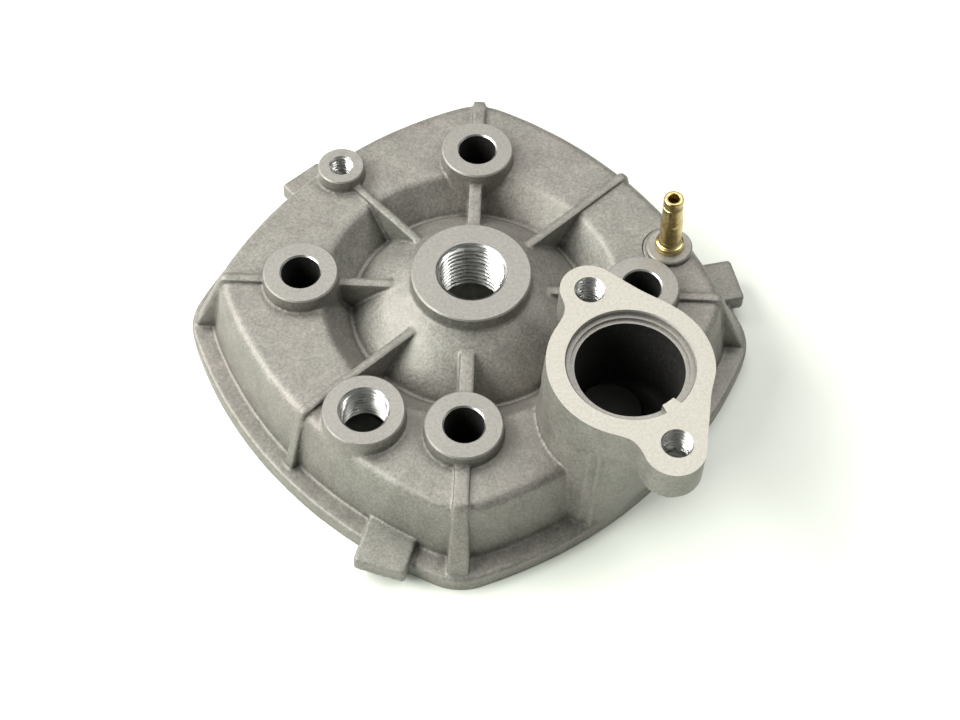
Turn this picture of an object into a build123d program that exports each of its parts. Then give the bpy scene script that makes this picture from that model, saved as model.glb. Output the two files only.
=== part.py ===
from build123d import *
import math
import os

# Liquid-cooled two-stroke cylinder head.
# Frame: origin on the spark-plug axis at the gasket face, +Z up along the plug
# axis, one stud hole on each of -Y (front), +X (right), +Y (back), -X (left).
# All dimensions in millimetres.

# ---------------------------------------------------------------- driving sizes
STUD_PCD = 70.0            # four stud holes on the X and Y axes
STUD_HOLE_R = 4.0
STUD_BOSS_R_TOP = 7.7
STUD_BOSS_R_BASE = 8.0
STUD_BOSS_Z = 22.3

PLUG_TAP_R = 6.35          # M14 x 1.25 spark-plug thread, drawn at its tap size
PLUG_BOSS_R = 12.33
PLUG_BOSS_Z = 24.8

DOME_R = 31.0              # spherical dome round the plug boss
DOME_CZ = -7.03
GROOVE_R = 24.75           # valley at the dome's foot
RECESS_R = 30.9            # edge of the recess in the platform
PLATFORM_Z = 18.75

FLANGE_T = 4.0             # base flange
FLANGE_CORNER = 59.4       # reach on the axes
FLANGE_SIDE = 52.4         # reach at 45 degrees
FLANGE_ARC = 12.0

WALL_CORNER_LOW, WALL_SIDE_LOW = 54.1, 48.0     # outer wall at the flange
WALL_CORNER_TOP, WALL_SIDE_TOP = 51.9, 45.6     # outer wall at the platform
WALL_ARC = 15.0
WALL_TOP_ROUND = 2.0

RIB_Z = 19.65              # ribs run level from the dome to the platform's edge
RIB_W = {0: 2.2, 45: 1.9, 90: 2.8, 135: 1.9, 180: 2.2, 225: 1.9, 270: 3.0}
GUSSET_W = {0: 3.4, 45: 2.6, 90: 3.8, 135: 2.6, 180: 3.4, 225: 2.6, 270: 4.3}

PAD_W = 10.8               # three clamping pads, 120 degrees apart
PAD_Z0, PAD_Z1 = 2.0, 5.7
PAD_ANGLES = ((15.0, 60.0), (135.0, 56.8), (255.0, 60.0))

VENT_XY = (-29.05, 29.05)  # small screw boss
VENT_BOSS_R, VENT_Z, VENT_TAP_R, VENT_DEPTH = 4.95, 22.0, 2.1, 7.6

SENSOR_XY = (-19.6, -32.6)  # coolant temperature sensor, M10 x 1
SENSOR_BOSS_R, SENSOR_Z, SENSOR_TAP_R = 8.1, 22.3, 4.5

NIPPLE_XY = (41.3, 12.6)   # pressed-in hose nipple
NIPPLE_BOSS_R, NIPPLE_BOSS_Z = 4.8, 20.0
NIPPLE_SEAT_R = 2.5
NIPPLE_SHANK_R = 2.49
NIPPLE_COLLAR_R, NIPPLE_SPIGOT_R, NIPPLE_TIP_R, NIPPLE_BORE_R = 3.0, 2.3, 2.05, 1.1
NIPPLE_LEN = 15.5
NIPPLE_LEAN = 3.4          # degrees, towards -X

TH_XY = (30.9, -28.8)      # thermostat housing
TH_Z = 36.5
TH_RIM_R = 15.4
TH_BASE_R = 18.4
TH_FLANGE_T = 8.4
TH_EAR_R = 5.85
TH_EARS = ((38.6, -46.9), (23.2, -12.0))      # centres of the ears' round ends
TH_SCREWS = ((39.1, -45.9), (23.2, -12.0))    # tapped holes in the ears
TH_BLEND_R = 8.0
TH_SEAT_R, TH_SEAT_DEPTH = 12.2, 1.2
TH_STEP_R, TH_STEP_DEPTH = 11.4, 1.9         # second, narrower step inside the seat
TH_BORE_R, TH_BORE_FLOOR = 10.6, 14.5
TH_PORT_R = 7.5
TH_TAP_R, TH_TAP_DEPTH = 2.5, 7.4

JACKET_CORNER, JACKET_SIDE, JACKET_ARC = 48.8, 43.5, 10.5
JACKET_DRAFT = 1.6
JACKET_INNER_R = 28.0
JACKET_ROOF = 13.5
COLUMN_R = 7.6             # stud columns through the jacket

BOWL_R, BOWL_SPHERE_R = 17.0, 18.0   # combustion chamber
SQUISH_R, SQUISH_DEPTH = 20.0, 1.4

O_DEPTH = 1.9              # O-ring grooves in the gasket face
CH_RING_R0, CH_RING_R1 = 22.6, 25.4
JK_RING_IN, JK_RING_W = (50.6, 45.3), 2.8
ST_RING_R = 6.2

# ---------------------------------------------------------------- helpers


def rounded_square(corner, side, arc, z):
    """Bulged square: corners of radius `arc` reaching `corner` on the axes,
    tangent to long side arcs that reach `side` at 45 degrees."""
    c = math.sqrt(0.5)
    a = corner - arc
    big = (arc**2 - a**2 - side**2 + 2 * a * c * side) / (2 * (a * c - side + arc))
    edges = []
    pts = []
    off = side - big                       # centre of a side arc along its 45 degree line
    for k in range(4):
        t = math.radians(90 * k)
        cc = (a * math.cos(t), a * math.sin(t))
        ends = []
        for sgn in (-1, 1):
            u = t + sgn * math.pi / 4
            sc = (off * math.cos(u), off * math.sin(u))
            d = math.hypot(cc[0] - sc[0], cc[1] - sc[1])
            ends.append((sc[0] + (cc[0] - sc[0]) / d * big, sc[1] + (cc[1] - sc[1]) / d * big))
        pts.append((ends[0], (corner * math.cos(t), corner * math.sin(t)), ends[1]))
    for k in range(4):
        p = pts[k]
        n = pts[(k + 1) % 4]
        u = math.radians(90 * k + 45)
        mid = (side * math.cos(u), side * math.sin(u))
        edges.append(ThreePointArc((*p[0], z), (*p[1], z), (*p[2], z)))
        edges.append(ThreePointArc((*p[2], z), (*mid, z), (*n[0], z)))
    return Face(Wire(edges))


def drafted(low, high, arc, z0, z1):
    return loft([rounded_square(*low, arc, z0), rounded_square(*high, arc, z1)], ruled=True)


def cyl(xy, r, z0, z1, r_top=None):
    if r_top is None or abs(r_top - r) < 1e-9:
        s = Cylinder(r, z1 - z0, align=(Align.CENTER, Align.CENTER, Align.MIN))
    else:
        s = Cone(r, r_top, z1 - z0, align=(Align.CENTER, Align.CENTER, Align.MIN))
    return Pos(xy[0], xy[1], z0) * s


def turned(points):
    """Solid of revolution about Z from a closed (r, z) polygon."""
    face = Plane.XZ * Polygon(*points, align=None)
    return revolve(face, Axis.Z, 360)


def radial(points, width, angle):
    """Plate of a given width standing in the radial plane at `angle`."""
    plate = extrude(Plane.XZ * Polygon(*points, align=None), width / 2, both=True)
    return Rot(0, 0, angle) * plate


def polar(r, deg):
    return (r * math.cos(math.radians(deg)), r * math.sin(math.radians(deg)))


STUDS = [polar(STUD_PCD / 2, a) for a in (270, 0, 90, 180)]
STUD_NAMES = ("front", "right", "back", "left")

# ---------------------------------------------------------------- outer casting
head = extrude(rounded_square(FLANGE_CORNER, FLANGE_SIDE, FLANGE_ARC, 0), FLANGE_T)

wall = drafted((WALL_CORNER_LOW, WALL_SIDE_LOW), (WALL_CORNER_TOP, WALL_SIDE_TOP), WALL_ARC, FLANGE_T - 1.0, PLATFORM_Z)
wall = fillet(wall.faces().sort_by(Axis.Z)[-1].edges(), WALL_TOP_ROUND)
head += wall

# core carries the dome and the plug boss; the recess cutter trims it to shape
head += cyl((0, 0), 20.0, 5.0, PLUG_BOSS_Z)
mid_r = 0.5 * (PLUG_BOSS_R + GROOVE_R)
dome_z = lambda r: DOME_CZ + math.sqrt(DOME_R**2 - r**2)
groove_z = dome_z(GROOVE_R)
slope_z = PLATFORM_Z + 4 * (PLATFORM_Z - groove_z) / (RECESS_R - GROOVE_R)
recess = make_face(
    [
        Line((PLUG_BOSS_R, 0, dome_z(PLUG_BOSS_R)), (PLUG_BOSS_R, 0, 40)),
        Line((PLUG_BOSS_R, 0, 40), (RECESS_R + 4, 0, 40)),
        Line((RECESS_R + 4, 0, 40), (RECESS_R + 4, 0, slope_z)),
        Line((RECESS_R + 4, 0, slope_z), (GROOVE_R, 0, dome_z(GROOVE_R))),
        ThreePointArc(
            (GROOVE_R, 0, dome_z(GROOVE_R)), (mid_r, 0, dome_z(mid_r)), (PLUG_BOSS_R, 0, dome_z(PLUG_BOSS_R))
        ),
    ]
)
head -= revolve(recess, Axis.Z, 360)

# ribs: level from the dome over the valley and the platform, then down the wall
# as gussets
for k in range(8):
    ang = 45 * k
    if ang == 315:
        continue
    corner = ang % 90 == 0
    top = WALL_CORNER_TOP if corner else WALL_SIDE_TOP
    toe = 58.0 if corner else 50.0
    start = 11.0 if ang == 90 else 16.8
    edge = top + 0.4
    head += radial([(start, 9), (start, RIB_Z), (edge, RIB_Z), (edge + 0.5, 17.5), (edge - 4.0, 17.5), (edge - 4.0, 14.5), (34, 14.5), (28, 9)], RIB_W[ang], ang)
    out = edge + (toe - edge) * (RIB_Z - 17.6) / (RIB_Z - FLANGE_T)
    head += radial([(top - 5, FLANGE_T - 1), (top - 5, 17.6), (out, 17.6), (toe, FLANGE_T), (toe, FLANGE_T - 1)], GUSSET_W[ang], ang)

# clamping pads on the flange
for ang, reach in PAD_ANGLES:
    head += radial([(46.0, PAD_Z0), (46.0, PAD_Z1), (reach, PAD_Z1), (reach, PAD_Z0)], PAD_W, ang)

# bosses
for p in STUDS:
    head += cyl(p, STUD_BOSS_R_BASE, 8.0, STUD_BOSS_Z, STUD_BOSS_R_TOP)
head += cyl(VENT_XY, VENT_BOSS_R + 0.15, 12.0, VENT_Z, VENT_BOSS_R)
head += cyl(SENSOR_XY, SENSOR_BOSS_R + 0.2, 12.0, SENSOR_Z, SENSOR_BOSS_R)
head += cyl(NIPPLE_XY, NIPPLE_BOSS_R + 0.1, 12.0, NIPPLE_BOSS_Z + 0.35, NIPPLE_BOSS_R)
nipple_frame = Pos(*NIPPLE_XY, NIPPLE_BOSS_Z) * Rot(0, -NIPPLE_LEAN, 0)   # boss face and nipple axis
head -= nipple_frame * Cylinder(7.0, 4.0, align=(Align.CENTER, Align.CENTER, Align.MIN))

# ---------------------------------------------------------------- thermostat housing
neck = cyl(TH_XY, TH_BASE_R, 1.5, TH_Z, TH_RIM_R)
# the outer side leans in towards the base flange
lean = math.degrees(math.atan2(58.0 - 52.6, TH_Z - FLANGE_T))
keep = Rot(0, 0, -45) * (Pos(52.6, 0, FLANGE_T) * (Rot(0, lean, 0) * Box(60, 90, 120, align=(Align.MAX, Align.CENTER, Align.CENTER))))
head += neck & keep


def ear_outline():
    cx, cy = TH_XY
    out = Pos(cx, cy) * Circle(TH_RIM_R)
    for i, (ex, ey) in enumerate(TH_EARS):
        out += Pos(ex, ey) * Circle(TH_EAR_R)
        d = math.hypot(ex - cx, ey - cy)
        base = math.atan2(ey - cy, ex - cx)
        outer = 1 if i == 0 else -1        # side of the ear that faces +X
        # straight tangent on the outer side
        b = base + outer * math.acos((TH_RIM_R - TH_EAR_R) / d)
        n = (math.cos(b), math.sin(b))
        out += Polygon(
            (cx, cy), (cx + TH_RIM_R * n[0], cy + TH_RIM_R * n[1]), (ex + TH_EAR_R * n[0], ey + TH_EAR_R * n[1]), (ex, ey),
            align=None,
        )
        # hollow blend on the inner side
        r1, r2 = TH_RIM_R + TH_BLEND_R, TH_EAR_R + TH_BLEND_R
        al = math.acos((r1 * r1 + d * d - r2 * r2) / (2 * r1 * d))
        u = base - outer * al
        bx, by = cx + r1 * math.cos(u), cy + r1 * math.sin(u)
        web = Polygon((cx, cy), (bx, by), (ex, ey), align=None) - Pos(bx, by) * Circle(TH_BLEND_R)
        out += web
    return out


ears = extrude(Pos(0, 0, TH_Z - TH_FLANGE_T) * ear_outline(), TH_FLANGE_T, dir=(0, 0, 1))
head += ears

# ---------------------------------------------------------------- openings from above
head -= cyl((0, 0), PLUG_TAP_R, -5, 40)
for p in STUDS:
    head -= cyl(p, STUD_HOLE_R, -5, 40)
head -= cyl(VENT_XY, VENT_TAP_R, VENT_Z - VENT_DEPTH, 40)
head -= cyl(SENSOR_XY, SENSOR_TAP_R, 8.0, 40)
head -= nipple_frame * (Pos(0, 0, 8.0 - NIPPLE_BOSS_Z) * Cylinder(NIPPLE_SEAT_R, 20.0, align=(Align.CENTER, Align.CENTER, Align.MIN)))

# ---------------------------------------------------------------- water jacket, open at the gasket face
core = turned(
    [
        (0, -3),
        (JACKET_INNER_R, -3),
        (JACKET_INNER_R, JACKET_ROOF - 4.3),
        (JACKET_INNER_R + 4.4, JACKET_ROOF + 0.3),
        (JACKET_INNER_R + 4.4, 20),
        (0, 20),
    ]
)
jacket = drafted(
    (JACKET_CORNER + 0.1, JACKET_SIDE + 0.1), (JACKET_CORNER - JACKET_DRAFT, JACKET_SIDE - JACKET_DRAFT), JACKET_ARC, -1.0, JACKET_ROOF
)
jacket -= core
for p in STUDS:
    jacket -= cyl(p, COLUMN_R, -3, 20)
head -= jacket

# thermostat: seat, bore, and the port from the bore down into the jacket
seat = cyl(TH_XY, TH_SEAT_R, TH_Z - TH_SEAT_DEPTH, 40) + cyl(TH_XY, TH_STEP_R, TH_Z - TH_STEP_DEPTH, 40)
lug = Pos(*TH_XY, TH_Z - 6) * (
    Rot(0, 0, -50.5) * Pos(9.0, 0, 0) * Box(3.35 + 9, 3.0, 12, align=(Align.MIN, Align.CENTER, Align.MIN))
)
lug -= cyl(TH_XY, TH_BORE_R, 0, 60)
head -= seat - lug
head -= cyl(TH_XY, TH_BORE_R, TH_BORE_FLOOR, 40)
port_xy = (TH_XY[0] - 2.6, TH_XY[1] + 2.6)
head -= cyl(port_xy, TH_PORT_R, 5.5, TH_BORE_FLOOR + 1)
for e in TH_SCREWS:
    head -= cyl(e, TH_TAP_R, TH_Z - TH_TAP_DEPTH, 40)

# ---------------------------------------------------------------- combustion chamber
head -= cyl((0, 0), SQUISH_R, -1, SQUISH_DEPTH)
bowl_cz = SQUISH_DEPTH - math.sqrt(BOWL_SPHERE_R**2 - BOWL_R**2)
bowl = Pos(0, 0, bowl_cz) * Sphere(BOWL_SPHERE_R)
head -= bowl & (Pos(0, 0, SQUISH_DEPTH - 0.5) * Box(60, 60, 40, align=(Align.CENTER, Align.CENTER, Align.MIN)))

# ---------------------------------------------------------------- seal grooves
head -= cyl((0, 0), CH_RING_R1, -1, O_DEPTH) - cyl((0, 0), CH_RING_R0, -2, O_DEPTH + 1)


def square_band(inner, width, arc, z0, z1):
    a = rounded_square(inner[0] + width, inner[1] + width, arc + width, z0)
    b = rounded_square(inner[0], inner[1], arc, z0)
    return extrude(a, z1 - z0) - extrude(b, z1 - z0)


head -= square_band(JK_RING_IN, JK_RING_W, 12.0, -1.0, O_DEPTH)
for p in STUDS:
    head -= cyl(p, ST_RING_R, -1, O_DEPTH)

# ---------------------------------------------------------------- hose nipple (turned brass)
nip = turned(
    [
        (NIPPLE_BORE_R, -6.0),
        (NIPPLE_SHANK_R - 0.3, -6.0),
        (NIPPLE_SHANK_R, -5.7),
        (NIPPLE_SHANK_R, 0.0),
        (NIPPLE_COLLAR_R, 0.0),
        (NIPPLE_COLLAR_R, 1.6),
        (NIPPLE_SPIGOT_R, 1.6),
        (NIPPLE_SPIGOT_R, 8.2),
        (NIPPLE_SPIGOT_R - 0.13, 8.2),
        (NIPPLE_TIP_R, NIPPLE_LEN - 0.3),
        (NIPPLE_TIP_R - 0.25, NIPPLE_LEN),
        (NIPPLE_BORE_R, NIPPLE_LEN),
    ]
)
nip = nipple_frame * nip

# ---------------------------------------------------------------- O-rings, squeezed flush with the gasket face


def band_ring(r0, r1, h):
    ring = cyl((0, 0), r1, 0, h) - cyl((0, 0), r0, -1, h + 1)
    return fillet(ring.edges(), 0.42 * min(h, r1 - r0))


ch_ring = band_ring(CH_RING_R0 + 0.05, CH_RING_R1 - 0.05, O_DEPTH)
jk_ring = square_band((JK_RING_IN[0] + 0.05, JK_RING_IN[1] + 0.05), JK_RING_W - 0.1, 12.05, 0.0, O_DEPTH)
jk_ring = fillet(jk_ring.faces().sort_by(Axis.Z)[0].edges() + jk_ring.faces().sort_by(Axis.Z)[-1].edges(), 0.75)
st_ring = band_ring(STUD_HOLE_R + 0.35, ST_RING_R - 0.05, O_DEPTH)

# ---------------------------------------------------------------- write the nodes
nodes = {"head_casting": head, "hose_nipple": nip, "chamber_o_ring": ch_ring, "jacket_o_ring": jk_ring}
for name, p in zip(STUD_NAMES, STUDS):
    nodes["stud_o_ring_" + name] = Pos(p[0], p[1], 0) * st_ring

os.makedirs("parts", exist_ok=True)
for name, shape in nodes.items():
    solids = shape.solids()
    print(name, len(solids), round(sum(s.volume for s in solids), 1))
    export_step(Compound(children=list(solids)) if len(solids) > 1 else solids[0], f"parts/{name}.step")
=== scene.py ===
import math

import bmesh
import bpy
import numpy as np
from mathutils import Matrix, Vector


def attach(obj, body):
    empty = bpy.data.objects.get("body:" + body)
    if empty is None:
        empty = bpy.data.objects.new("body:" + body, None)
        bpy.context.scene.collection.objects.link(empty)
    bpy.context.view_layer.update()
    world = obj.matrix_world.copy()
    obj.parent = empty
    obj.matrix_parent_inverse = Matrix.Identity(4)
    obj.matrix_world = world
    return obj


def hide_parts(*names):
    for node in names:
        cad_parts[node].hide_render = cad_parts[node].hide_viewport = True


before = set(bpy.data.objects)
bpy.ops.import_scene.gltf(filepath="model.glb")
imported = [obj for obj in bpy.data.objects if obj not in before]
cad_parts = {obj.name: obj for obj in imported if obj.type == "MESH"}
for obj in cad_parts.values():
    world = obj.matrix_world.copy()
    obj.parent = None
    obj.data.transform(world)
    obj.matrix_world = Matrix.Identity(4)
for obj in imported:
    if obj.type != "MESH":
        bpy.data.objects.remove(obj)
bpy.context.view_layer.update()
MM = 0.001
F32 = np.float32

# ------------------------------------------------------------------ camera
cam_data = bpy.data.cameras.new("camera")
cam = bpy.data.objects.new("camera", cam_data)
bpy.context.scene.collection.objects.link(cam)
az, el, roll = math.radians(0.096), math.radians(56.201), math.radians(2.313)
back = Vector((math.sin(az) * math.cos(el), -math.cos(az) * math.cos(el), math.sin(el)))
right = (-back).cross(Vector((0, 0, 1))).normalized()
up = right.cross(-back).normalized()
R = math.cos(roll) * right + math.sin(roll) * up
U = -math.sin(roll) * right + math.cos(roll) * up
SCALE = 1.0145
eye = (Vector((2.47, -19.655, 22.0)) + back * 321.858) * SCALE * MM
cam.matrix_world = Matrix((
    (R.x, U.x, back.x, eye.x),
    (R.y, U.y, back.y, eye.y),
    (R.z, U.z, back.z, eye.z),
    (0, 0, 0, 1),
))
cam_data.sensor_width = 36.0
cam_data.lens = 36.0 * 1648.3 / 960.0
cam_data.clip_start, cam_data.clip_end = 0.01, 50.0
bpy.context.scene.camera = cam

# ------------------------------------------------------------------ sizes, mm
STUDS = [(0.0, -35.0), (35.0, 0.0), (0.0, 35.0), (-35.0, 0.0)]
VENT = (-29.05, 29.05)
SENSOR = (-19.6, -32.6)
NIPPLE = (41.3, 12.6)
TH = (30.9, -28.8)
EARS = [(38.6, -46.9), (23.2, -12.0)]       # centres of the ears' round ends
SCREWS = [(39.1, -45.9), (23.2, -12.0)]     # tapped holes in the ears
PORT = (TH[0] - 2.6, TH[1] + 2.6)
TH_Z, TH_R, EAR_R, BLEND_R, EAR_T = 36.5, 15.4, 5.85, 8.0, 8.4
PLATFORM = 18.75
RIB_TOP = 19.75
LEAN = math.radians(3.4)                    # the nipple's lean towards -X
FLANGE = (59.4, 52.4, 12.0)
RIB_HALF = {0: 1.1, 1: 0.95, 2: 1.4, 3: 0.95, 4: 1.1, 5: 0.95, 6: 1.5}
GUSSET_HALF = {0: 1.7, 1: 1.2, 2: 1.9, 3: 1.2, 4: 1.7, 5: 1.2, 6: 2.15}


# ------------------------------------------------------------------ distance fields
def union(a, b, r=0.0):
    if r <= 0:
        return np.minimum(a, b)
    u = np.maximum(r - a, 0)
    v = np.maximum(r - b, 0)
    return np.maximum(r, np.minimum(a, b)) - np.sqrt(u * u + v * v)


def meet(a, b, r=0.0):
    if r <= 0:
        return np.maximum(a, b)
    u = np.maximum(r + a, 0)
    v = np.maximum(r + b, 0)
    return np.minimum(-r, np.maximum(a, b)) + np.sqrt(u * u + v * v)


def bulged(X, Y, corner, side, arc):
    """2D distance to the rounded, bulged square of the flange, wall and jacket."""
    c = math.sqrt(0.5)
    a = corner - arc
    big = (arc**2 - a**2 - side**2 + 2 * a * c * side) / (2 * (a * c - side + arc))
    off = side - big
    x, y = np.abs(X), np.abs(Y)
    hi, lo = np.maximum(x, y), np.minimum(x, y)
    sx = sy = off * c
    dx, dy = a - sx, 0.0 - sy                 # side-arc centre to corner-arc centre
    cross = dx * (lo - sy) - dy * (hi - sx)   # > 0: the side arc's share
    d_side = np.sqrt((hi - sx) ** 2 + (lo - sy) ** 2) - big
    d_corner = np.sqrt((hi - a) ** 2 + lo**2) - arc
    return np.where(cross > 0, d_side, d_corner)


def ear_plan(X, Y):
    """2D distance to the thermostat flange: rim circle and two ears, straight
    on the outer side and hollow on the inner side."""
    cx, cy = TH
    d = np.sqrt((X - cx) ** 2 + (Y - cy) ** 2) - TH_R
    for i, (ex, ey) in enumerate(EARS):
        d = np.minimum(d, np.sqrt((X - ex) ** 2 + (Y - ey) ** 2) - EAR_R)
    for i, (ex, ey) in enumerate(EARS):
        length = math.hypot(ex - cx, ey - cy)
        base = math.atan2(ey - cy, ex - cx)
        outer = 1 if i == 0 else -1
        ux, uy = math.cos(base), math.sin(base)
        # straight outer side
        b = base + outer * math.acos((TH_R - EAR_R) / length)
        nx, ny = math.cos(b), math.sin(b)
        tx, ty = -ny * -outer, nx * -outer
        t1x, t1y = cx + TH_R * nx, cy + TH_R * ny
        t2x, t2y = ex + EAR_R * nx, ey + EAR_R * ny
        lx, ly = t2x - t1x, t2y - t1y
        ll = math.hypot(lx, ly)
        along = ((X - t1x) * lx + (Y - t1y) * ly) / ll
        line = (X - t1x) * nx + (Y - t1y) * ny
        side = ((X - cx) * -uy + (Y - cy) * ux) * outer
        d = np.where((along >= 0) & (along <= ll) & (side > 0), line, d)
        # hollow inner side
        r1, r2 = TH_R + BLEND_R, EAR_R + BLEND_R
        al = math.acos((r1 * r1 + length * length - r2 * r2) / (2 * r1 * length))
        u = base - outer * al
        bx, by = cx + r1 * math.cos(u), cy + r1 * math.sin(u)
        tri = [(cx, cy), (bx, by), (ex, ey)]
        inside = np.ones(np.broadcast(X, Y).shape, bool)
        s0 = (tri[1][0] - tri[0][0]) * (tri[2][1] - tri[0][1]) - (tri[1][1] - tri[0][1]) * (tri[2][0] - tri[0][0])
        for k in range(3):
            p, q = tri[k], tri[(k + 1) % 3]
            s = (q[0] - p[0]) * (Y - p[1]) - (q[1] - p[1]) * (X - p[0])
            inside &= (s * np.sign(s0)) >= 0
        d = np.where(inside, BLEND_R - np.sqrt((X - bx) ** 2 + (Y - by) ** 2), d)
    return d


class Field:
    def __init__(self, lo, hi, h):
        self.h = h
        self.lo = np.array(lo, float)
        self.ax = [(lo[i] + h * np.arange(int(round((hi[i] - lo[i]) / h)) + 1)).astype(F32) for i in range(3)]
        self.v = np.full([len(a) for a in self.ax], 10.0, F32)

    def part(self, x0, x1, y0, y1, z0, z1):
        sl = []
        for a, l, u in zip(self.ax, (x0, y0, z0), (x1, y1, z1)):
            sl.append(slice(max(0, int(np.searchsorted(a, l)) - 1), min(len(a), int(np.searchsorted(a, u)) + 1)))
        sl = tuple(sl)
        return (
            sl,
            self.ax[0][sl[0]][:, None, None],
            self.ax[1][sl[1]][None, :, None],
            self.ax[2][sl[2]][None, None, :],
        )


def cast_field(h):
    f = Field((-61.6, -61.6, -1.6), (61.6, 61.6, 38.6), h)
    X, Y, Z = f.ax[0][:, None, None], f.ax[1][None, :, None], f.ax[2][None, None, :]
    r2 = X * X + Y * Y
    r = np.sqrt(r2)
    # base flange and domed-in wall
    flange = meet(bulged(X, Y, *FLANGE), Z - 4.0, 0.8)
    tan, cos = math.tan(math.radians(10.2)), math.cos(math.radians(10.2))
    plan = bulged(X, Y, 54.35, 48.1, 14.5)
    wall = (plan + (Z - 4.0) * tan) * cos
    body = union(flange, meet(wall, Z - PLATFORM, 2.0), 0.5)
    cone = -0.7563 * (r - 24.75) + 0.6542 * (Z - 11.64)
    body = meet(body, cone, 0.8)
    ball = np.sqrt(r2 + (Z + 7.03) ** 2) - 31.0
    body = union(body, ball, 0.8)
    f.v[...] = body
    del flange, body, cone, ball

    # low rib tops over the platform and gussets down the wall
    for k in range(8):
        if k == 7:
            continue
        a = math.radians(45 * k)
        ca, sa = math.cos(a), math.sin(a)
        reach = 61.0
        xs = sorted([ca * 14, ca * reach])
        ys = sorted([sa * 14, sa * reach])
        sl, x, y, z = f.part(xs[0] - 5, xs[1] + 5, ys[0] - 5, ys[1] + 5, 2.5, 21.5)
        u = x * ca + y * sa
        v = np.abs(-x * sa + y * ca)
        pl = plan[sl[0], sl[1], :]
        # one level rib from the dome to the platform's edge, then a gusset down the wall
        foot = 4.0 if k % 2 == 0 else 2.1
        swell = 0.45 + np.clip((18.5 - z) / 14.5, 0, 1) * (foot - 0.45)
        shell = meet((pl + (z - 4.0) * tan) * cos - swell, z - RIB_TOP, 1.5)
        w = RIB_HALF[k] + np.clip((19.0 - z) / 13.0, 0, 1) * (GUSSET_HALF[k] - RIB_HALF[k]) * np.clip((u - 42.0) / 4.0, 0, 1)
        start = 10.5 if k == 2 else 16.2
        rib = np.maximum(meet(v - w, shell, 0.4), start - u)
        cur = union(f.v[sl], rib, 0.35)
        f.v[sl] = cur

    # clamping pads
    for ang, reach in ((15.0, 60.0), (135.0, 56.8), (255.0, 60.0)):
        a = math.radians(ang)
        ca, sa = math.cos(a), math.sin(a)
        cx, cy = 54 * ca, 54 * sa
        sl, x, y, z = f.part(cx - 13, cx + 13, cy - 13, cy + 13, -1.6, 9)
        u = x * ca + y * sa
        v = np.abs(-x * sa + y * ca)
        pad = meet(v - (5.3 + np.clip(5.7 - z, 0, 4) * 0.03), u - reach - (5.7 - z) * 0.02, 0.9)
        pad = meet(pad, z - 5.7, 0.6)
        pad = meet(pad, 2.0 - z, 0.35)
        pad = np.maximum(pad, 44.0 - u)
        f.v[sl] = union(f.v[sl], pad, 0.4)

    # round bosses; tops stand proud and are faced off afterwards
    def boss(xy, rad, top, low, draft, fillet):
        sl, x, y, z = f.part(xy[0] - rad - 5, xy[0] + rad + 5, xy[1] - rad - 5, xy[1] + rad + 5, low, top + 2)
        d = np.sqrt((x - xy[0]) ** 2 + (y - xy[1]) ** 2) - (rad + (top - z) * draft)
        d = np.maximum(np.maximum(d, z - (top + 0.9)), low - z)
        f.v[sl] = union(f.v[sl], d, fillet)

    boss((0, 0), 12.33, 24.8, 14.0, 0.02, 0.5)
    for p in STUDS:
        boss(p, 7.7, 22.3, 8.0, 0.03, 0.5)
    boss(VENT, 4.95, 22.0, 7.0, 0.03, 0.5)
    boss(SENSOR, 8.1, 22.3, 7.0, 0.03, 0.5)
    boss(NIPPLE, 4.8, 20.3, 8.0, 0.05, 0.4)

    # thermostat housing
    sl, x, y, z = f.part(4, 61.6, -61.6, -2, -1.6, 38.6)
    d = np.sqrt((x - TH[0]) ** 2 + (y - TH[1]) ** 2)
    neck = (d - (TH_R + (TH_Z - z) * 0.0875)) * 0.996
    s = (x - y) * math.sqrt(0.5)
    trim = (s - (52.3 + (z - 4.0) * 0.17)) * 0.986
    neck = meet(neck, trim, 5.0)
    plan2 = ear_plan(x[:, :, 0], y[:, :, 0])[:, :, None]
    slab = meet(plan2 - (TH_Z - z) * 0.02, (TH_Z - EAR_T) - z, 1.0)
    house = union(neck, slab, 2.2)
    # two faint, short parting ridges on the flank under the front ear
    for t, reach in ((math.radians(252), 0.10), (math.radians(245), 0.0)):
        q = TH_R + (TH_Z - z) * 0.0875 + reach - np.clip((17.0 - z) / 6.0, 0, 1) * 0.6
        ridge = np.sqrt((x - TH[0] - q * math.cos(t)) ** 2 + (y - TH[1] - q * math.sin(t)) ** 2) - 0.55
        house = union(house, np.maximum(ridge, z - 27.5), 0.7)
    house = np.maximum(house, z - (TH_Z + 0.9))
    house = np.maximum(house, -1.0 - z)
    f.v[sl] = union(f.v[sl], house, 0.5)
    bore = meet(d - (10.6 - (TH_Z - z) * 0.01), 14.5 - z, 2.5)
    cur = meet(f.v[sl], -bore, 0.0)
    dp = np.sqrt((x - PORT[0]) ** 2 + (y - PORT[1]) ** 2) - 7.5
    port = np.maximum(meet(dp, 5.5 - z, 1.8), z - 16.0)
    f.v[sl] = meet(cur, -port, 0.5)

    # water jacket
    sl, x, y, z = f.part(-52, 52, -52, 52, -1.6, 15.5)
    rr = r[sl[0], sl[1], :]
    out = (bulged(x, y, 48.8, 43.5, 11.0) + z * 0.11) * 0.994
    jac = meet(out, z - 13.5, 2.6)
    core = np.minimum(rr - 28.0, 0.7226 * (rr - 28.0) - 0.6912 * (z - 9.2))
    jac = meet(jac, -core, 2.0)
    for p in STUDS:
        jac = meet(jac, -(np.sqrt((x - p[0]) ** 2 + (y - p[1]) ** 2) - (7.5 + z * 0.03)), 1.5)
    f.v[sl] = meet(f.v[sl], -jac, 0.5)

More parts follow.
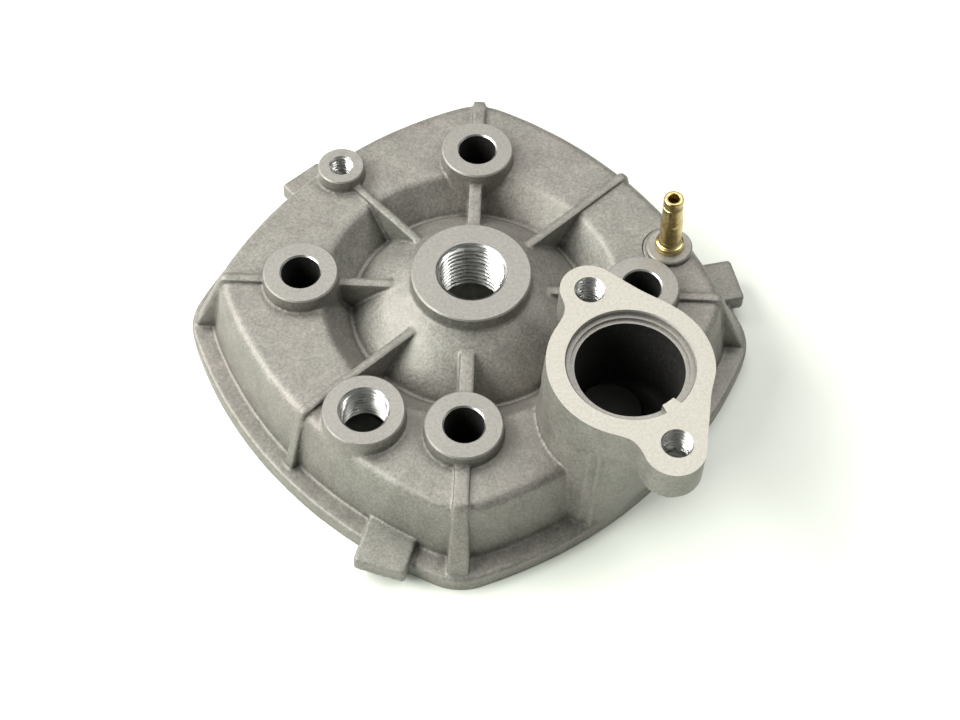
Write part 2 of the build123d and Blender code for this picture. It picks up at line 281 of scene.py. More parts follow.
    # the slight waviness of a die-cast skin
    k1 = 0.030 * np.sin(X * 0.31 + 1.3) * np.sin(Y * 0.27 + 0.4) * np.sin(Z * 0.37 + 2.0)
    k2 = 0.016 * np.sin(X * 0.83 + Y * 0.55) * np.sin(Y * 0.91 - Z * 0.6 + 0.9)
    f.v += (k1 + k2).astype(F32)
    return f


def sample(f, p):
    """Trilinear value and gradient of the field at points p."""
    g = (p - f.lo) / f.h
    n = np.array(f.v.shape)
    i = np.clip(np.floor(g).astype(int), 0, n - 2)
    t = np.clip(g - i, 0, 1)
    c = np.empty((2, 2, 2, len(p)))
    for a in (0, 1):
        for b in (0, 1):
            for e in (0, 1):
                c[a, b, e] = f.v[i[:, 0] + a, i[:, 1] + b, i[:, 2] + e]
    x, y, z = t.T
    cx = c[0] * (1 - x) + c[1] * x
    cxy = cx[0] * (1 - y) + cx[1] * y
    val = cxy[0] * (1 - z) + cxy[1] * z
    dx = c[1] - c[0]
    dx = dx[0] * (1 - y) + dx[1] * y
    dx = dx[0] * (1 - z) + dx[1] * z
    dy = cx[1] - cx[0]
    dy = dy[0] * (1 - z) + dy[1] * z
    dz = cxy[1] - cxy[0]
    return val, np.stack([dx, dy, dz], 1) / f.h


def surface_nets(f):
    V = f.v
    S = V < 0
    cnt = np.zeros(np.array(V.shape) - 1, np.uint8)
    for a in (0, 1):
        for b in (0, 1):
            for c in (0, 1):
                cnt += S[a:S.shape[0] - 1 + a, b:S.shape[1] - 1 + b, c:S.shape[2] - 1 + c]
    act = (cnt > 0) & (cnt < 8)
    ijk = np.argwhere(act)
    idx = np.full(act.shape, -1, np.int32)
    idx[act] = np.arange(len(ijk))
    corners = np.array([(a, b, c) for a in (0, 1) for b in (0, 1) for c in (0, 1)])
    vals = np.stack([V[ijk[:, 0] + a, ijk[:, 1] + b, ijk[:, 2] + c] for a, b, c in corners], 1)
    acc = np.zeros((len(ijk), 3))
    num = np.zeros(len(ijk))
    for p in range(8):
        for q in range(p + 1, 8):
            if np.abs(corners[p] - corners[q]).sum() != 1:
                continue
            fa, fb = vals[:, p], vals[:, q]
            m = (fa < 0) != (fb < 0)
            t = (fa[m] / (fa[m] - fb[m]))[:, None]
            acc[m] += corners[p] + t * (corners[q] - corners[p])
            num[m] += 1
    pts = f.lo + f.h * (ijk + acc / num[:, None])
    quads = []
    for axis in range(3):
        lo = [slice(None)] * 3
        hi = [slice(None)] * 3
        lo[axis], hi[axis] = slice(0, -1), slice(1, None)
        o1, o2 = [k for k in range(3) if k != axis]
        for o in (o1, o2):
            lo[o] = slice(1, -1)
            hi[o] = slice(1, -1)
        a, b = S[tuple(lo)], S[tuple(hi)]
        e = np.argwhere(a != b)
        inside_first = a[a != b]
        base = e.copy()
        base[:, o1] += 1
        base[:, o2] += 1

        def cell(d1, d2):
            q = base.copy()
            q[:, o1] -= d1
            q[:, o2] -= d2
            return idx[q[:, 0], q[:, 1], q[:, 2]]

        quad = np.stack([cell(1, 1), cell(0, 1), cell(0, 0), cell(1, 0)], 1)
        flip = inside_first ^ (axis == 1)
        quad[~flip] = quad[~flip][:, ::-1]
        quads.append(quad)
    return pts, np.concatenate(quads)


def to_mesh(name, pts, faces):
    me = bpy.data.meshes.new(name)
    faces = np.asarray(faces)
    me.vertices.add(len(pts))
    me.vertices.foreach_set("co", np.asarray(pts, F32).ravel())
    n = faces.shape[1]
    me.loops.add(faces.size)
    me.loops.foreach_set("vertex_index", faces.ravel().astype(np.int32))
    me.polygons.add(len(faces))
    me.polygons.foreach_set("loop_start", (np.arange(len(faces)) * n).astype(np.int32))
    me.polygons.foreach_set("loop_total", np.full(len(faces), n, np.int32))
    me.update(calc_edges=True)
    return me


def add_object(name, mesh):
    o = bpy.data.objects.new(name, mesh)
    bpy.context.scene.collection.objects.link(o)
    return o


# ------------------------------------------------------------------ cutters
class Cutter:
    def __init__(self):
        self.v, self.f = [], []

    def add(self, verts, faces):
        n = len(self.v)
        self.v += [tuple(map(float, p)) for p in verts]
        self.f += [tuple(i + n for i in q) for q in faces]

    def spun(self, xy, zs, rad, n):
        """Closed solid whose radius at angle t and height z is rad(t, z)."""
        t = np.arange(n) * 2 * math.pi / n
        rows = [np.asarray(rad(t, z)) * np.ones(n) for z in zs]
        verts, faces = [], []
        for z, rr in zip(zs, rows):
            verts += [(xy[0] + q * math.cos(a), xy[1] + q * math.sin(a), z) for q, a in zip(rr, t)]
        m = len(zs)
        for j in range(m - 1):
            for i in range(n):
                k = (i + 1) % n
                faces.append((j * n + i, j * n + k, (j + 1) * n + k, (j + 1) * n + i))
        b, c = len(verts), len(verts) + 1
        verts += [(xy[0], xy[1], zs[0]), (xy[0], xy[1], zs[-1])]
        for i in range(n):
            k = (i + 1) % n
            faces.append((b, k, i))
            faces.append((c, (m - 1) * n + i, (m - 1) * n + k))
        self.add(verts, faces)

    def lathe(self, xy, prof, n):
        """Solid of revolution from (r, z) points running up the outside; ends on the axis."""
        t = np.arange(n) * 2 * math.pi / n
        verts, faces, rings = [], [], []
        for r, z in prof:
            if r < 1e-9:
                rings.append([len(verts)])
                verts.append((xy[0], xy[1], z))
            else:
                rings.append(list(range(len(verts), len(verts) + n)))
                verts += [(xy[0] + r * math.cos(a), xy[1] + r * math.sin(a), z) for a in t]
        for a, b in zip(rings, rings[1:]):
            for i in range(n):
                k = (i + 1) % n
                if len(a) == 1:
                    faces.append((a[0], b[k], b[i]))
                elif len(b) == 1:
                    faces.append((a[i], a[k], b[0]))
                else:
                    faces.append((a[i], a[k], b[k], b[i]))
        self.add(verts, faces)

    def loop_band(self, path, section):
        """Closed band: section [(out, z)...] carried round a closed path of (x, y, nx, ny)."""
        n, m = len(path), len(section)
        verts = [(x + nx * o, y + ny * o, z) for x, y, nx, ny in path for o, z in section]
        faces = []
        for i in range(n):
            k = (i + 1) % n
            for j in range(m):
                l = (j + 1) % m
                faces.append((i * m + j, k * m + j, k * m + l, i * m + l))
        self.add(verts, faces)

    def tip(self, first, about, angle):
        """Lean everything added since index `first` about the Y direction through `about`."""
        c, s = math.cos(angle), math.sin(angle)
        for i in range(first, len(self.v)):
            x, y, z = (self.v[i][k] - about[k] for k in range(3))
            self.v[i] = (about[0] + x * c - z * s, about[1] + y, about[2] + x * s + z * c)

    def box(self, lo, hi):
        v = [(x, y, z) for x in (lo[0], hi[0]) for y in (lo[1], hi[1]) for z in (lo[2], hi[2])]
        q = [(0, 1, 3, 2), (4, 6, 7, 5), (0, 4, 5, 1), (2, 3, 7, 6), (0, 2, 6, 4), (1, 5, 7, 3)]
        self.add(v, q)

    def object(self, name):
        me = bpy.data.meshes.new(name)
        me.from_pydata(self.v, [], self.f)
        bm = bmesh.new()
        bm.from_mesh(me)
        bmesh.ops.recalc_face_normals(bm, faces=bm.faces)
        bm.to_mesh(me)
        bm.free()
        return add_object(name, me)


def square_path(corner, side, arc, n):
    """Points and outward normals round a bulged square."""
    c = math.sqrt(0.5)
    a = corner - arc
    big = (arc**2 - a**2 - side**2 + 2 * a * c * side) / (2 * (a * c - side + arc))
    off = side - big
    sx = sy = off * c
    e = abs(math.atan2(-sy, a - sx))          # direction of the tangent point from the side centre
    pts = []
    for k in range(4):
        t = math.radians(90 * k)
        ct, st = math.cos(t), math.sin(t)
        local = []
        m = max(6, n // 10)
        for i in range(m):                     # corner arc from -e to +e
            ang = -e + 2 * e * i / m
            local.append((a + arc * math.cos(ang), arc * math.sin(ang), math.cos(ang), math.sin(ang)))
        ms = max(12, n // 6)
        for i in range(ms):                    # side arc from +e to 90-e
            ang = e + (math.pi / 2 - 2 * e) * i / ms
            local.append((sx + big * math.cos(ang), sy + big * math.sin(ang), math.cos(ang), math.sin(ang)))
        for x, y, nx, ny in local:
            pts.append((x * ct - y * st, x * st + y * ct, nx * ct - ny * st, nx * st + ny * ct))
    return pts


def thread(major, minor, pitch, top, mouth, bottom=None):
    """Radius of a tapped, right-handed hole with a chamfered mouth."""
    def rad(t, z):
        ph = np.mod(z / pitch - t / (2 * math.pi), 1.0)
        tri = np.abs(2 * ph - 1)
        r = minor + (major - minor) * np.clip((tri - 0.25) / 0.625, 0, 1)
        if bottom is not None:
            fade = np.clip((z - bottom) / (1.5 * pitch), 0, 1)
            r = minor + (r - minor) * fade
        return np.maximum(r, mouth - max(0.0, top - z))
    return rad


def levels(a, b, step):
    n = max(1, int(round((b - a) / step)))
    return [a + (b - a) * i / n for i in range(n + 1)]


def cut(obj, cutter, label):
    co = cutter.object("cut_" + label)
    before = len(obj.data.polygons)
    for solver in ("MANIFOLD", "EXACT"):
        mod = obj.modifiers.new("cut", "BOOLEAN")
        mod.operation, mod.object, mod.solver = "DIFFERENCE", co, solver
        dg = bpy.context.evaluated_depsgraph_get()
        new = bpy.data.meshes.new_from_object(obj.evaluated_get(dg))
        obj.modifiers.remove(mod)
        same = len(new.polygons) == before and np.allclose(
            np.array(new.vertices[0].co), np.array(obj.data.vertices[0].co)
        )
        if len(new.polygons) > 1000 and not same:
            obj.data = new
            print("cut", label, solver, before, len(new.polygons))
            break
        print("cut", label, solver, "gave nothing")
    bpy.data.objects.remove(co)


def build_casting():
    import time
    t0 = time.time()
    f = cast_field(0.42)
    print("field", round(time.time() - t0, 1), f.v.shape)
    pts, quads = surface_nets(f)
    for _ in range(3):
        val, grad = sample(f, pts)
        g2 = np.maximum((grad**2).sum(1), 0.25)
        step = -(val / g2)[:, None] * grad
        pts += np.clip(step, -0.3 * f.h, 0.3 * f.h) * 0.9
    print("nets", round(time.time() - t0, 1), len(pts), len(quads))
    me = to_mesh("head", pts, quads)
    bm = bmesh.new()
    bm.from_mesh(me)
    bad = [e for e in bm.edges if len(e.link_faces) != 2]
    print("edges not two-sided", len(bad))
    bm.free()
    o = add_object("cylinder_head", me)
    dec = o.modifiers.new("thin", "DECIMATE")
    dec.ratio = min(1.0, 135000 / (2.0 * len(quads)))
    dg = bpy.context.evaluated_depsgraph_get()
    o.data = bpy.data.meshes.new_from_object(o.evaluated_get(dg))
    o.modifiers.clear()
    print("decimated", round(time.time() - t0, 1), len(o.data.polygons))

    # faced: gasket face, thermostat face, boss tops with a broken edge
    c = Cutter()
    c.box((-70, -70, -6), (70, 70, 0))
    c.box((0, -62, TH_Z), (60, 0, 42))
    tops = [((0, 0), 12.33, 24.8)] + [(p, 7.7, 22.3) for p in STUDS]
    tops += [(VENT, 4.95, 22.0), (SENSOR, 8.1, 22.3), (NIPPLE, 4.8, 20.0)]
    for xy, rad, z in tops:
        k = 0.28
        first = len(c.v)
        c.lathe(xy, [(0, z), (rad - k, z), (rad + 0.9, z - k - 0.9), (rad + 1.2, z + 0.4), (rad + 1.2, z + 2.5), (0, z + 2.5)], 96)
        if xy == NIPPLE:
            c.tip(first, (*NIPPLE, 20.0), LEAN)
    cut(o, c, "faces")

    # holes from above
    c = Cutter()
    c.spun((0, 0), levels(9.0, 24.8, 0.125) + [25.5], thread(7.0, 6.33, 1.25, 24.8, 7.35), 84)
    for p in STUDS:
        c.lathe(p, [(0, -2), (4.0, -2), (4.0, 22.0), (4.3, 22.3), (4.3, 24), (0, 24)], 64)
    c.spun(VENT, levels(14.4, 22.0, 0.12) + [23.5], thread(2.5, 2.1, 0.8, 22.0, 2.65, 14.4), 36)
    c.spun(SENSOR, levels(8.0, 22.3, 0.14) + [24.0], thread(5.0, 4.5, 1.0, 22.3, 5.15), 60)
    first = len(c.v)
    c.lathe(NIPPLE, [(0, 8), (2.5, 8), (2.5, 21), (0, 21)], 40)
    c.tip(first, (*NIPPLE, 20.0), LEAN)
    for e in SCREWS:
        c.spun(e, [TH_Z - 7.9] + levels(TH_Z - 7.3, TH_Z, 0.13) + [38.0],
               lambda t, z, q=thread(3.0, 2.5, 1.0, TH_Z, 3.05, TH_Z - 7.3): q(t, z) if z > TH_Z - 7.5 else 1.2 + 0 * t, 44)

    def seat(t, z):
        a = np.abs(np.mod(np.degrees(t) + 50.5 + 180, 360) - 180)
        wide = 11.4 if z < 35.29 else 12.2
        return np.where(a < 7.5, 9.9, wide) + max(0.0, z - 36.2) * np.where(a < 7.5, 0.0, 0.8)
    c.spun(TH, [34.6, 35.28, 35.3, 36.2, 36.5, 38.0], seat, 240)
    cut(o, c, "holes")

    # gasket side: squish band, bowl, seal grooves, stud counterbores
    c = Cutter()
    bowl = [(18.0 * math.sin(q), -4.52 + 18.0 * math.cos(q)) for q in np.linspace(math.asin(17 / 18), math.asin(5.0 / 18), 22)]
    c.lathe((0, 0), [(0, -3), (20.3, -3), (20.3, -0.3), (20.0, 0.3), (20.0, 1.15), (19.75, 1.4), (17.4, 1.4)] + bowl + [(0, bowl[-1][1])], 128)
    cut(o, c, "bowl")
    c = Cutter()
    ring = [(math.cos(t), math.sin(t), math.cos(t), math.sin(t)) for t in np.arange(128) * 2 * math.pi / 128]
    c.loop_band(ring, [(21.6 - 0.2, -2), (21.6, 0.2), (21.6, 1.9), (24.4, 1.9), (24.4, 0.2), (24.6, -2)])
    path = square_path(50.6, 45.3, 12.0, 120)
    c.loop_band(path, [(-0.2, -2), (0, 0.2), (0, 1.9), (2.8, 1.9), (2.8, 0.2), (3.0, -2)])
    for p in STUDS:
        c.lathe(p, [(0, -3), (6.5, -3), (6.2, 0.2), (6.2, 1.9), (0, 1.9)], 72)
    cut(o, c, "grooves")
    print("machined", round(time.time() - t0, 1), len(o.data.polygons))
    return o


head = build_casting()


# ------------------------------------------------------------------ which face is which
def classify(o):
    me = o.data
    n = len(me.polygons)
    c = np.zeros(n * 3)
    me.polygons.foreach_get("center", c)
    c = c.reshape(-1, 3)
    nn = np.zeros(n * 3)
    me.polygons.foreach_get("normal", nn)
    nn = nn.reshape(-1, 3)
    slot = np.zeros(n, int)          # 0 cast, 1 faced boss, 2 milled, 3 bored/tapped, 4 turned chamber

    def away(xy):
        return np.hypot(c[:, 0] - xy[0], c[:, 1] - xy[1])

    z = c[:, 2]
    tops = [((0, 0), 12.33, 24.8)] + [(p, 7.7, 22.3) for p in STUDS]
    tops += [(VENT, 4.95, 22.0), (SENSOR, 8.1, 22.3), (NIPPLE, 4.8, 20.0)]
    for xy, rad, top in tops:
        d = away(xy)
        low = 0.75 if xy == NIPPLE else 0.36
        slot[(d < rad + 0.35) & (z > top - low) & (nn[:, 2] > 0.6)] = 1
    slot[(z > TH_Z - 0.02) & (nn[:, 2] > 0.99)] = 2
    d = away(TH)
    slot[(d < 12.6) & (z > 34.55) & (z < TH_Z - 0.01)] = 1
    slot[(z < 0.02) & (nn[:, 2] < -0.99)] = 2
    holes = [((0, 0), 7.4, 12.2, 24.79)] + [(p, 4.35, 1.85, 22.29) for p in STUDS]
    holes += [(VENT, 2.7, 14, 21.99), (SENSOR, 5.2, 12, 22.29), (NIPPLE, 2.55, 12, 19.99)]
    holes += [(e, 3.1, 27, TH_Z - 0.01) for e in SCREWS]
    for xy, rad, lo, hi in holes:
        slot[(away(xy) < rad) & (z > lo) & (z < hi)] = 3
    d = away((0, 0))
    slot[(d < 20.4) & (z > 0.02) & (z < 12.35) & (nn[:, 2] < 0.5)] = 4
    slot[(d > 21.3) & (d < 25.7) & (z > 0.02) & (z < 1.95)] = 4
    for p in STUDS:
        slot[(away(p) < 6.6) & (away(p) > 3.9) & (z > 0.02) & (z < 1.95)] = 4
    b = bulged(c[:, 0], c[:, 1], 50.6, 45.3, 12.0)
    slot[(b > -0.35) & (b < 3.2) & (z > 0.02) & (z < 1.95)] = 4
    # cored bore and port under the thermostat, and the plain drilled stud holes: a near-black skin, painted shade
    # inside these deep holes
    slot[(away(TH) < 10.85) & (z < 34.55) & (z > 14.3)] = 5
    slot[(away(PORT) < 7.8) & (z < 16.0) & (z > 5.2)] = 5
    for p in STUDS:
        slot[(away(p) < 4.15) & (z > 1.85) & (z < 21.9)] = 5
    me.polygons.foreach_set("material_index", slot.astype(np.int32))
    # distance from the nearest tool axis, for turning marks
    nv = len(me.vertices)
    co = np.zeros(nv * 3)
    me.vertices.foreach_get("co", co)
    co = co.reshape(-1, 3)
    axes = [t[0] for t in tops]
    dist = np.stack([np.hypot(co[:, 0] - a[0], co[:, 1] - a[1]) for a in axes], 1).min(1)
    at = me.attributes.new("tool_r", "FLOAT", "POINT")
    at.data.foreach_set("value", dist.astype(F32))
    return slot


# ------------------------------------------------------------------ materials
def new_mat(name):
    m = bpy.data.materials.new(name)
    m.use_nodes = True
    nt = m.node_tree
    bsdf = nt.nodes["Principled BSDF"]
    return m, nt, bsdf


def node(nt, kind, **kw):
    n = nt.nodes.new(kind)
    for k, v in kw.items():
        if k in n.inputs:
            n.inputs[k].default_value = v
        else:
            setattr(n, k, v)
    return n


def noise(nt, coord, scale, detail=3.0, rough=0.6, dist=0.0):
    n = node(nt, "ShaderNodeTexNoise")
    n.inputs["Scale"].default_value = scale
    n.inputs["Detail"].default_value = detail
    n.inputs["Roughness"].default_value = rough
    n.inputs["Distortion"].default_value = dist
    nt.links.new(coord, n.inputs["Vector"])
    return n.outputs["Fac"]


def ramp(nt, fac, stops):
    n = node(nt, "ShaderNodeValToRGB")
    e = n.color_ramp.elements
    while len(e) < len(stops):
        e.new(0.5)
    for el_, (p, col) in zip(e, stops):
        el_.position = p
        el_.color = (*col, 1.0) if len(col) == 3 else col
    nt.links.new(fac, n.inputs["Fac"])
    return n.outputs["Color"]


def mix(nt, fac, a, b, mode="MIX"):
    n = node(nt, "ShaderNodeMix")
    n.data_type = "RGBA"
    n.blend_type = mode
    if hasattr(fac, "links"):
        nt.links.new(fac, n.inputs[0])
    else:
        n.inputs[0].default_value = fac
    for sock, v in ((n.inputs[6], a), (n.inputs[7], b)):
        if hasattr(v, "links"):
            nt.links.new(v, sock)
        else:
            sock.default_value = (*v, 1.0)
    return n.outputs[2]


def math_(nt, op, a, b=None, clamp=False):
    n = node(nt, "ShaderNodeMath")
    n.operation = op
    n.use_clamp = clamp
    for i, v in enumerate((a, b)):
        if v is None:
            continue
        if hasattr(v, "links"):
            nt.links.new(v, n.inputs[i])
        else:
            n.inputs[i].default_value = v
    return n.outputs[0]


def remap(nt, v, a, b, c, d):
    n = node(nt, "ShaderNodeMapRange")
    nt.links.new(v, n.inputs["Value"])
    for k, x in zip(("From Min", "From Max", "To Min", "To Max"), (a, b, c, d)):
        n.inputs[k].default_value = x
    return n.outputs["Result"]


def bump(nt, height, strength, distance, normal=None):
    n = node(nt, "ShaderNodeBump")
    n.inputs["Strength"].default_value = strength
    n.inputs["Distance"].default_value = distance
    nt.links.new(height, n.inputs["Height"])
    if normal is not None:
        nt.links.new(normal, n.inputs["Normal"])
    return n.outputs["Normal"]


def painted_crevice_shade(nt, col, dark, reach):
    """Painted shade: darkens the colour in the corners where two surfaces meet, where shade falls."""
    ao = node(nt, "ShaderNodeAmbientOcclusion")
    ao.samples = 8
    ao.only_local = True
    ao.inputs["Distance"].default_value = reach
    shade = ramp(nt, ao.outputs["AO"], [(0.38, (dark, dark, dark)), (0.90, (1.0, 1.0, 1.0))])
    return mix(nt, 1.0, col, shade, "MULTIPLY")


def cast_material(name, dark, mid, light, tint=0.35, metal=0.75, rough=(0.46, 0.62), grain=0.00007):
    m, nt, b = new_mat(name)
    co = node(nt, "ShaderNodeTexCoord").outputs["Object"]
    speck = noise(nt, co, 1900.0, 3.0, 0.65)
    blotch = noise(nt, co, 240.0, 4.0, 0.6)
    cloud = noise(nt, co, 45.0, 3.0, 0.5)
    col = ramp(nt, speck, [(0.30, dark), (0.50, mid), (0.72, light)])
    soft = ramp(nt, blotch, [(0.30, (0.86, 0.86, 0.86)), (0.70, (1.10, 1.10, 1.10))])
    col = mix(nt, 1.0, col, soft, "MULTIPLY")
    hue = ramp(nt, cloud, [(0.35, (0.97, 1.0, 0.965)), (0.65, (1.02, 0.985, 0.975))])
    col = mix(nt, tint + 0.4, col, hue, "MULTIPLY")
    # painted shade: the skin colour is darkened in corners and creases where two surfaces meet
    nt.links.new(painted_crevice_shade(nt, col, 0.34, 0.0026), b.inputs["Base Color"])
    b.inputs["Metallic"].default_value = metal
    nt.links.new(remap(nt, speck, 0.3, 0.7, rough[0], rough[1]), b.inputs["Roughness"])
    fine = noise(nt, co, 2600.0, 2.0, 0.6)
    peb = noise(nt, co, 900.0, 2.0, 0.5)
    h = math_(nt, "ADD", math_(nt, "MULTIPLY", fine, 0.6), math_(nt, "MULTIPLY", peb, 1.0))
    nt.links.new(bump(nt, h, 0.85, grain), b.inputs["Normal"])
    return m


def faced_material(name, col_a, col_b, rings=True, metal=0.85, rough=0.36):
    m, nt, b = new_mat(name)
    co = node(nt, "ShaderNodeTexCoord").outputs["Object"]
    speck = noise(nt, co, 1700.0, 3.0, 0.6)
    blotch = noise(nt, co, 160.0, 3.0, 0.55)
    col = ramp(nt, speck, [(0.32, col_a), (0.68, col_b)])
    soft = ramp(nt, blotch, [(0.3, (0.93, 0.93, 0.93)), (0.7, (1.05, 1.05, 1.04))])
    nt.links.new(mix(nt, 1.0, col, soft, "MULTIPLY"), b.inputs["Base Color"])
    b.inputs["Metallic"].default_value = metal
    nt.links.new(remap(nt, blotch, 0.3, 0.7, rough - 0.05, rough + 0.07), b.inputs["Roughness"])
    if rings:
        at = node(nt, "ShaderNodeAttribute")
        at.attribute_name = "tool_r"
        lines = math_(nt, "SINE", math_(nt, "MULTIPLY", at.outputs["Fac"], 2 * math.pi / 0.22))
    else:
        sep = node(nt, "ShaderNodeSeparateXYZ")
        nt.links.new(co, sep.inputs[0])
        # arcs of a face mill passing over the part
        dx = math_(nt, "SUBTRACT", sep.outputs[0], 0.115)
        dy = math_(nt, "SUBTRACT", sep.outputs[1], 0.02)
        rr = math_(nt, "SQRT", math_(nt, "ADD", math_(nt, "MULTIPLY", dx, dx), math_(nt, "MULTIPLY", dy, dy)))
        lines = math_(nt, "SINE", math_(nt, "MULTIPLY", rr, 2 * math.pi / 0.00045))
    h = math_(nt, "ADD", math_(nt, "MULTIPLY", lines, 0.30), math_(nt, "MULTIPLY", speck, 0.7))
    nt.links.new(bump(nt, h, 0.5, 0.00003), b.inputs["Normal"])
    return m


def bore_material(name):
    m, nt, b = new_mat(name)
    co = node(nt, "ShaderNodeTexCoord").outputs["Object"]
    mp = node(nt, "ShaderNodeMapping")
    mp.inputs["Scale"].default_value = (400.0, 400.0, 5200.0)
    nt.links.new(co, mp.inputs["Vector"])
    streak = noise(nt, mp.outputs[0], 1.0, 2.0, 0.5)
    col = ramp(nt, streak, [(0.3, (0.50, 0.495, 0.48)), (0.7, (0.66, 0.655, 0.64))])
    nt.links.new(col, b.inputs["Base Color"])
    b.inputs["Metallic"].default_value = 1.0
    nt.links.new(remap(nt, streak, 0.3, 0.7, 0.24, 0.36), b.inputs["Roughness"])
    nt.links.new(bump(nt, streak, 0.4, 0.00002), b.inputs["Normal"])
    return m


def brass_material(name):
    m, nt, b = new_mat(name)
    co = node(nt, "ShaderNodeTexCoord").outputs["Object"]
    mp = node(nt, "ShaderNodeMapping")
    mp.inputs["Scale"].default_value = (120.0, 120.0, 1100.0)
    nt.links.new(co, mp.inputs["Vector"])
    streak = noise(nt, mp.outputs[0], 1.0, 3.0, 0.55)
    stain = noise(nt, co, 420.0, 3.0, 0.6)
    col = ramp(nt, stain, [(0.30, (0.40, 0.295, 0.115)), (0.55, (0.56, 0.44, 0.20)), (0.75, (0.64, 0.53, 0.29))])
    nt.links.new(col, b.inputs["Base Color"])
    b.inputs["Metallic"].default_value = 1.0
    nt.links.new(remap(nt, streak, 0.3, 0.7, 0.25, 0.31), b.inputs["Roughness"])
    nt.links.new(bump(nt, streak, 0.3, 0.000006), b.inputs["Normal"])
    return m


def rubber_material(name):
    m, nt, b = new_mat(name)
    co = node(nt, "ShaderNodeTexCoord").outputs["Object"]
    fine = noise(nt, co, 2400.0, 3.0, 0.6)
    dust = noise(nt, co, 300.0, 4.0, 0.6)
    col = ramp(nt, dust, [(0.35, (0.012, 0.012, 0.013)), (0.75, (0.040, 0.039, 0.037))])
    nt.links.new(col, b.inputs["Base Color"])
    nt.links.new(remap(nt, dust, 0.3, 0.7, 0.42, 0.62), b.inputs["Roughness"])
    nt.links.new(bump(nt, fine, 0.5, 0.00002), b.inputs["Normal"])
    return m


cast = cast_material("cast_aluminium_skin", (0.178, 0.171, 0.157), (0.246, 0.236, 0.217), (0.330, 0.318, 0.294), metal=0.6, rough=(0.48, 0.62))
faced = faced_material("faced_boss", (0.250, 0.240, 0.222), (0.318, 0.307, 0.286), rings=True, metal=0.65, rough=0.48)
milled = faced_material("milled_face", (0.37, 0.355, 0.315), (0.45, 0.433, 0.388), rings=False, metal=0.6, rough=0.44)
# near-black skin for deep bores and passages: painted shade, not the metal's own colour
passage_painted_shade = cast_material("cored_passage_painted_shade", (0.012, 0.012, 0.011), (0.020, 0.019, 0.018), (0.034, 0.033, 0.030), metal=0.3, rough=(0.55, 0.75))
bored = bore_material("bored_hole")
turned = faced_material("turned_chamber", (0.60, 0.58, 0.55), (0.72, 0.70, 0.67), rings=True, metal=0.9, rough=0.30)
brass = brass_material("turned_brass")
rubber = rubber_material("o_ring_rubber")

head.data.materials.clear()
for m in (cast, faced, milled, bored, turned, passage_painted_shade):
    head.data.materials.append(m)
print("faces by material", np.bincount(classify(head)))


def finish_piece(o, nodes, angle=32.0):
    o.data.transform(Matrix.Scale(MM, 4))
    for p in o.data.polygons:
        p.use_smooth = True
    o.data.set_sharp_from_angle(angle=math.radians(angle))
    o.data.update()
    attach(o, "root")
    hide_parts(*nodes)
    return o


finish_piece(head, ["head_casting"])


# ------------------------------------------------------------------ brass nipple
def nipple():
    z0 = 20.0
    prof = [(1.1, 14.02), (2.25, 14.02), (2.48, 14.3), (2.48, z0 + 0.01), (2.86, z0 + 0.01), (3.0, z0 + 0.13)]
    prof += [(3.0, z0 + 1.25), (2.95, z0 + 1.42), (2.82, z0 + 1.55), (2.55, z0 + 1.62), (2.38, z0 + 1.75), (2.3, z0 + 2.0)]
    for z in np.linspace(z0 + 2.4, z0 + 8.0, 12):
        prof.append((2.3, z))
    prof += [(2.3, z0 + 8.15), (2.22, z0 + 8.25), (2.17, z0 + 8.4)]
    for q in np.linspace(0.08, 1.0, 10):
        prof.append((2.17 - 0.12 * q, z0 + 8.4 + (12.9 - 8.4) * q))
    prof += [(2.05, z0 + 13.1), (1.93, z0 + 13.2), (1.93, z0 + 13.35), (2.05, z0 + 13.5), (2.05, z0 + 15.1), (2.0, z0 + 15.3), (1.88, z0 + 15.45), (1.75, z0 + 15.5), (1.3, z0 + 15.5), (1.16, z0 + 15.42), (1.1, z0 + 15.25)]
    n = 72
    t = np.arange(n) * 2 * math.pi / n
    verts, faces = [], []
    cl, sl = math.cos(LEAN), math.sin(LEAN)
    for r, z in prof:
        for a in t:
            x, y, w = r * math.cos(a), r * math.sin(a), z - z0
            verts.append((NIPPLE[0] + x * cl - w * sl, NIPPLE[1] + y, z0 + x * sl + w * cl))
    m = len(prof)
    for j in range(m):
        k = (j + 1) % m
        for i in range(n):
            l = (i + 1) % n
            faces.append((j * n + i, j * n + l, k * n + l, k * n + i))
    me = bpy.data.meshes.new("hose_nipple_brass")
    me.from_pydata(verts, [], faces)
    o = add_object("brass_hose_nipple", me)
    me.materials.append(brass)
    return o


finish_piece(nipple(), ["hose_nipple"], 40.0)


# ------------------------------------------------------------------ O-rings
def ring_object(name, path, mid, half_w, h):
    """Squeezed ring section: rounded oblong, flattened a little at top and bottom."""
    sec = []
    for q in np.arange(20) * 2 * math.pi / 20:
        cx, sz = math.cos(q), math.sin(q)
        x = half_w * math.copysign(abs(cx) ** 0.72, cx)
        z = h / 2 + (h / 2) * math.copysign(abs(sz) ** 0.72, sz)
        sec.append((mid + x, min(max(z, 0.01), h - 0.01)))
    c = Cutter()
    c.loop_band(path, sec)
    me = bpy.data.meshes.new(name)
    me.from_pydata(c.v, [], c.f)
    bm = bmesh.new()
    bm.from_mesh(me)
    bmesh.ops.recalc_face_normals(bm, faces=bm.faces)
    bm.to_mesh(me)
    bm.free()
    me.materials.append(rubber)
    return add_object(name, me)


def circle_path(xy, n):
    t = np.arange(n) * 2 * math.pi / n
    return [(xy[0] + math.cos(a), xy[1] + math.sin(a), math.cos(a), math.sin(a)) for a in t]


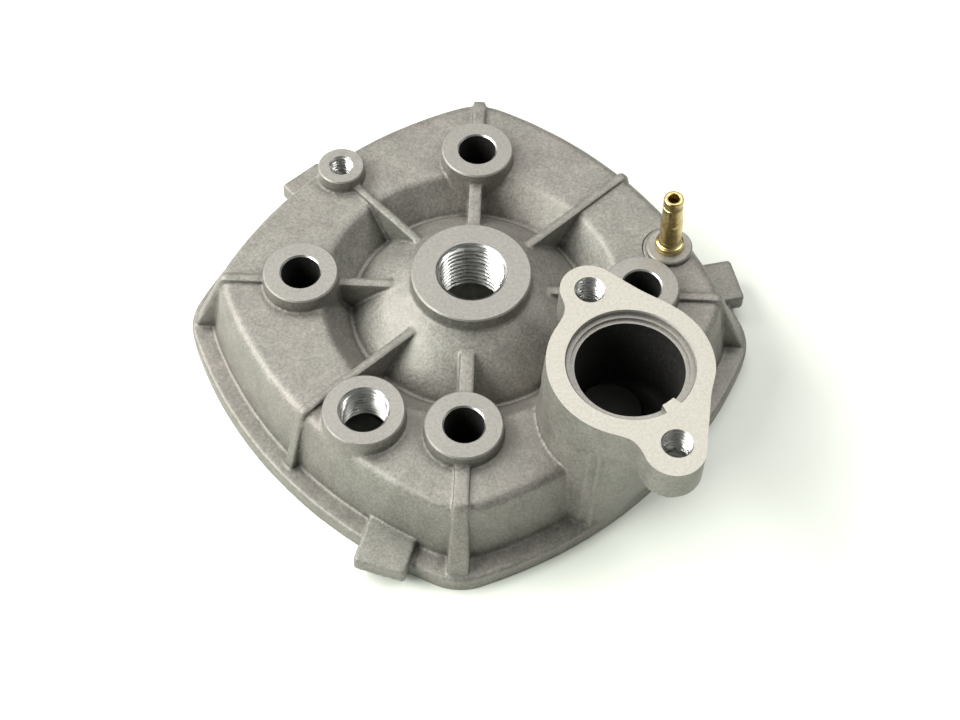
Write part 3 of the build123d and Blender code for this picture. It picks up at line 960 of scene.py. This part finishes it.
finish_piece(ring_object("chamber_seal", circle_path((0, 0), 160), 23.0, 1.32, 1.88), ["chamber_o_ring"], 60)
finish_piece(ring_object("jacket_seal", square_path(50.6, 45.3, 12.0, 180), 1.4, 1.32, 1.88), ["jacket_o_ring"], 60)
for p, nm in zip(STUDS, ("front", "right", "back", "left")):
    finish_piece(ring_object("stud_seal_" + nm, circle_path(p, 64), 4.22, 0.88, 1.88), ["stud_o_ring_" + nm], 60)

# ------------------------------------------------------------------ floor and light
bm = bmesh.new()
bmesh.ops.create_grid(bm, x_segments=1, y_segments=1, size=3.0)
me = bpy.data.meshes.new("floor")
bm.to_mesh(me)
bm.free()
floor = add_object("floor", me)
floor.location.z = -0.0002
m, nt, b = new_mat("pale_floor")
b.inputs["Base Color"].default_value = (0.855, 0.89, 0.83, 1)
b.inputs["Roughness"].default_value = 0.9
me.materials.append(m)

world = bpy.data.worlds.new("studio")
bpy.context.scene.world = world
world.use_nodes = True
world.node_tree.nodes["Background"].inputs["Color"].default_value = (0.96, 1.0, 0.95, 1)
world.node_tree.nodes["Background"].inputs["Strength"].default_value = 0.16


def area(name, loc, target, size, power, color=(1, 1, 1)):
    d = bpy.data.lights.new(name, "AREA")
    d.shape = "RECTANGLE"
    d.size, d.size_y = size
    d.energy = power
    d.color = color
    o = bpy.data.objects.new(name, d)
    bpy.context.scene.collection.objects.link(o)
    o.location = loc
    o.rotation_mode = "QUATERNION"
    o.rotation_quaternion = (Vector(target) - Vector(loc)).to_track_quat("-Z", "Y")
    return o


area("left", (-0.75, 0.28, 0.60), (0, 0, 0.01), (0.55, 0.55), 9.2, (1.0, 0.985, 0.96))
area("right", (0.57, 0.12, 0.80), (0, 0, 0.01), (0.55, 0.55), 4.0, (1.0, 0.99, 0.97))
area("back", (0.0, 0.48, 0.85), (0, 0, 0.01), (0.8, 0.5), 3.9, (1.0, 0.985, 0.96))
area("front_left", (-0.64, -0.28, 0.52), (0, 0, 0.01), (0.5, 0.5), 7.8, (0.985, 1.0, 0.945))

bpy.context.scene.view_settings.view_transform = "Standard"
